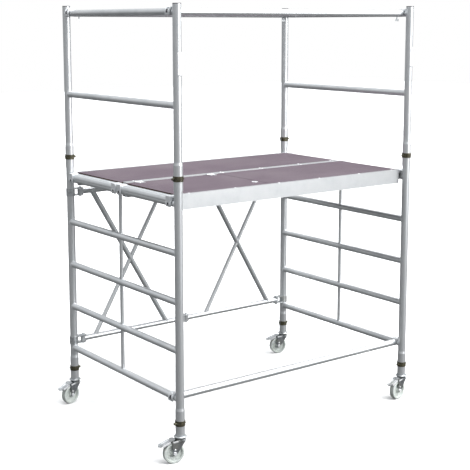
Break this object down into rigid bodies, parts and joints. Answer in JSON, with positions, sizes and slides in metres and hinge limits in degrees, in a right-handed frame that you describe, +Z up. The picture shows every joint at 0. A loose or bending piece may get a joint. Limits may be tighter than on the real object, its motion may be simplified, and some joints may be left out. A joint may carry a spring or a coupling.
{
  "type": "frame scaffold section",
  "caption": "Mobile aluminium frame scaffold bay on braked castors, with rung end frames, a folding braced gate, plywood decks with a hatch, and guardrails.",
  "frame": {"origin": "on the floor, in the middle between the four posts", "axes": "+X along the long side from the left to the right end frame, +Y from the closed front to the folding gate, +Z up"},
  "size_m": [1.9555, 1.3365, 2.583],
  "materials": {
    "aluminium_tube": "satin mill finish, slightly scuffed",
    "deck_aluminium": "bright mill finish",
    "zinc": "zinc plated",
    "fork_steel": "zinc plated, dull grey",
    "lock_band": "olive passivated",
    "wheel_nylon": "semi-gloss white nylon",
    "plywood": "mauve-grey phenolic film with a fine anti-slip pattern",
    "cap_plastic": "matt"
  },
  "bodies": {
    "left_frame": {"left_posts": "aluminium_tube", "left_rungs": "aluminium_tube", "left_stiffener": "aluminium_tube", "left_guard_posts": "aluminium_tube", "left_guard_rungs": "aluminium_tube", "left_post_caps": "cap_plastic", "left_lock_bands": "lock_band", "left_castor_stems": "zinc", "left_hinge_brackets": "zinc"},
    "right_frame": {"right_posts": "aluminium_tube", "right_rungs": "aluminium_tube", "right_stiffener": "aluminium_tube", "right_guard_posts": "aluminium_tube", "right_guard_rungs": "aluminium_tube", "right_post_caps": "cap_plastic", "right_lock_bands": "lock_band", "right_castor_stems": "zinc", "right_hinge_brackets": "zinc"},
    "gate_left_leaf": {"gate_left_leaf": "aluminium_tube", "gate_centre_bolts": "zinc"},
    "gate_right_leaf": {"gate_right_leaf": "aluminium_tube"},
    "front_rail": {"front_rail": "aluminium_tube"},
    "front_guardrail": {"front_guardrail": "aluminium_tube", "front_guardrail_screws": "zinc"},
    "back_guardrail": {"back_guardrail": "aluminium_tube", "back_guardrail_screws": "zinc"},
    "front_deck": {"front_deck_frame": "deck_aluminium", "front_deck_board": "plywood", "front_deck_claws": "deck_aluminium"},
    "hatch": {"hatch_board": "plywood", "hatch_hinges": "zinc"},
    "hatch_latch": {"hatch_latch": "zinc"},
    "back_deck": {"back_deck_frame": "deck_aluminium", "back_deck_board": "plywood", "back_deck_claws": "deck_aluminium"},
    "castor_back_left": {"castor_fork_back_left": "fork_steel", "castor_axle_back_left": "zinc"},
    "wheel_back_left": {"castor_wheel_back_left": "wheel_nylon"},
    "pedal_back_left": {"castor_pedal_back_left": "zinc"},
    "foot_lock_pin_back_left": {"foot_lock_pin_back_left": "lock_band"},
    "guard_lock_pin_back_left": {"guard_lock_pin_back_left": "lock_band"},
    "castor_front_left": {"castor_fork_front_left": "fork_steel", "castor_axle_front_left": "zinc"},
    "wheel_front_left": {"castor_wheel_front_left": "wheel_nylon"},
    "pedal_front_left": {"castor_pedal_front_left": "zinc"},
    "foot_lock_pin_front_left": {"foot_lock_pin_front_left": "lock_band"},
    "guard_lock_pin_front_left": {"guard_lock_pin_front_left": "lock_band"},
    "castor_front_right": {"castor_fork_front_right": "fork_steel", "castor_axle_front_right": "zinc"},
    "wheel_front_right": {"castor_wheel_front_right": "wheel_nylon"},
    "pedal_front_right": {"castor_pedal_front_right": "zinc"},
    "foot_lock_pin_front_right": {"foot_lock_pin_front_right": "lock_band"},
    "guard_lock_pin_front_right": {"guard_lock_pin_front_right": "lock_band"},
    "castor_back_right": {"castor_fork_back_right": "fork_steel", "castor_axle_back_right": "zinc"},
    "wheel_back_right": {"castor_wheel_back_right": "wheel_nylon"},
    "pedal_back_right": {"castor_pedal_back_right": "zinc"},
    "foot_lock_pin_back_right": {"foot_lock_pin_back_right": "lock_band"},
    "guard_lock_pin_back_right": {"guard_lock_pin_back_right": "lock_band"}
  },
  "joints": [
    {"name": "gate_fold", "type": "hinge", "parent": "left_frame", "child": "gate_left_leaf", "pos_m": [-0.82, 0.62, 0.9], "axis": [0, 0, -1], "range_deg": [0, 30]},
    {"name": "gate_centre_hinge", "type": "hinge", "parent": "gate_left_leaf", "child": "gate_right_leaf", "pos_m": [0, 0.62, 0.9], "axis": [0, 0, 1], "range_deg": [0, 62]},
    {"name": "gate_right_hinge", "type": "hinge", "parent": "gate_right_leaf", "child": "right_frame", "pos_m": [0.82, 0.62, 0.9], "axis": [0, 0, -1], "range_deg": [0, 31]},
    {"name": "front_deck_lift", "type": "slide", "parent": "left_frame", "child": "front_deck", "axis": [0, 0, 1], "range_m": [0, 0.225]},
    {"name": "back_deck_lift", "type": "slide", "parent": "left_frame", "child": "back_deck", "axis": [0, 0, 1], "range_m": [0, 0.225]},
    {"name": "front_rail_lift", "type": "slide", "parent": "left_frame", "child": "front_rail", "axis": [0, 0, 1], "range_m": [0, 0.225]},
    {"name": "front_guardrail_lift", "type": "slide", "parent": "left_frame", "child": "front_guardrail", "axis": [0, 0, 1], "range_m": [0, 0.225]},
    {"name": "back_guardrail_lift", "type": "slide", "parent": "left_frame", "child": "back_guardrail", "axis": [0, 0, 1], "range_m": [0, 0.225]},
    {"name": "hatch_hinge", "type": "hinge", "parent": "front_deck", "child": "hatch", "pos_m": [-0.5175, -0.03, 1.5375], "axis": [-1, 0, 0], "range_deg": [0, 100]},
    {"name": "hatch_latch_turn", "type": "hinge", "parent": "hatch", "child": "hatch_latch", "pos_m": [-0.223, -0.45, 1.526], "axis": [0, 0, 1], "range_deg": [0, 90]},
    {"name": "swivel_back_left", "type": "hinge", "parent": "left_frame", "child": "castor_back_left", "pos_m": [-0.89, 0.62, 0.14], "axis": [0, 0, 1], "continuous": true},
    {"name": "wheel_back_left", "type": "hinge", "parent": "castor_back_left", "child": "wheel_back_left", "pos_m": [-0.93092, 0.61055, 0.0625], "axis": [0.225, -0.9744, 0], "continuous": true},
    {"name": "pedal_back_left", "type": "hinge", "parent": "castor_back_left", "child": "pedal_back_left", "pos_m": [-0.94067, 0.6083, 0.134], "axis": [-0.225, 0.9744, 0], "range_deg": [0, 18]},
    {"name": "foot_lock_pin_back_left_pull", "type": "slide", "parent": "left_frame", "child": "foot_lock_pin_back_left", "axis": [1, 0, 0], "range_m": [0, 0.008], "stiffness_N_per_m": 500},
    {"name": "guard_lock_pin_back_left_pull", "type": "slide", "parent": "left_frame", "child": "guard_lock_pin_back_left", "axis": [1, 0, 0], "range_m": [0, 0.008], "stiffness_N_per_m": 500},
    {"name": "swivel_front_left", "type": "hinge", "parent": "left_frame", "child": "castor_front_left", "pos_m": [-0.89, -0.62, 0.14], "axis": [0, 0, 1], "continuous": true},
    {"name": "wheel_front_left", "type": "hinge", "parent": "castor_front_left", "child": "wheel_front_left", "pos_m": [-0.93108, -0.61127, 0.0625], "axis": [-0.2079, -0.9781, 0], "continuous": true},
    {"name": "pedal_front_left", "type": "hinge", "parent": "castor_front_left", "child": "pedal_front_left", "pos_m": [-0.94086, -0.60919, 0.134], "axis": [0.2079, 0.9781, 0], "range_deg": [0, 18]},
    {"name": "foot_lock_pin_front_left_pull", "type": "slide", "parent": "left_frame", "child": "foot_lock_pin_front_left", "axis": [-1, 0, 0], "range_m": [0, 0.008], "stiffness_N_per_m": 500},
    {"name": "guard_lock_pin_front_left_pull", "type": "slide", "parent": "left_frame", "child": "guard_lock_pin_front_left", "axis": [-1, 0, 0], "range_m": [0, 0.008], "stiffness_N_per_m": 500},
    {"name": "swivel_front_right", "type": "hinge", "parent": "right_frame", "child": "castor_front_right", "pos_m": [0.89, -0.62, 0.14], "axis": [0, 0, 1], "continuous": true},
    {"name": "wheel_front_right", "type": "hinge", "parent": "castor_front_right", "child": "wheel_front_right", "pos_m": [0.84841, -0.62584, 0.0625], "axis": [0.1392, -0.9903, 0], "continuous": true},
    {"name": "pedal_front_right", "type": "hinge", "parent": "castor_front_right", "child": "pedal_front_right", "pos_m": [0.83851, -0.62724, 0.134], "axis": [-0.1392, 0.9903, 0], "range_deg": [0, 18]},
    {"name": "foot_lock_pin_front_right_pull", "type": "slide", "parent": "right_frame", "child": "foot_lock_pin_front_right", "axis": [-1, 0, 0], "range_m": [0, 0.008], "stiffness_N_per_m": 500},
    {"name": "guard_lock_pin_front_right_pull", "type": "slide", "parent": "right_frame", "child": "guard_lock_pin_front_right", "axis": [-1, 0, 0], "range_m": [0, 0.008], "stiffness_N_per_m": 500},
    {"name": "swivel_back_right", "type": "hinge", "parent": "right_frame", "child": "castor_back_right", "pos_m": [0.89, 0.62, 0.14], "axis": [0, 0, 1], "continuous": true},
    {"name": "wheel_back_right", "type": "hinge", "parent": "castor_back_right", "child": "wheel_back_right", "pos_m": [0.84984, 0.63228, 0.0625], "axis": [-0.2924, -0.9563, 0], "continuous": true},
    {"name": "pedal_back_right", "type": "hinge", "parent": "castor_back_right", "child": "pedal_back_right", "pos_m": [0.84027, 0.6352, 0.134], "axis": [0.2924, 0.9563, 0], "range_deg": [0, 18]},
    {"name": "foot_lock_pin_back_right_pull", "type": "slide", "parent": "right_frame", "child": "foot_lock_pin_back_right", "axis": [1, 0, 0], "range_m": [0, 0.008], "stiffness_N_per_m": 500},
    {"name": "guard_lock_pin_back_right_pull", "type": "slide", "parent": "right_frame", "child": "guard_lock_pin_back_right", "axis": [1, 0, 0], "range_m": [0, 0.008], "stiffness_N_per_m": 500}
  ],
  "couplings": [
    {"joint": "gate_centre_hinge", "follows": "gate_fold", "ratio": 2},
    {"joint": "gate_right_hinge", "follows": "gate_fold", "ratio": 1},
    {"joint": "front_deck_lift", "follows": "gate_fold", "m_per_rad": 0.42},
    {"joint": "back_deck_lift", "follows": "gate_fold", "m_per_rad": 0.42},
    {"joint": "front_rail_lift", "follows": "gate_fold", "m_per_rad": 0.42},
    {"joint": "front_guardrail_lift", "follows": "gate_fold", "m_per_rad": 0.42},
    {"joint": "back_guardrail_lift", "follows": "gate_fold", "m_per_rad": 0.42}
  ]
}
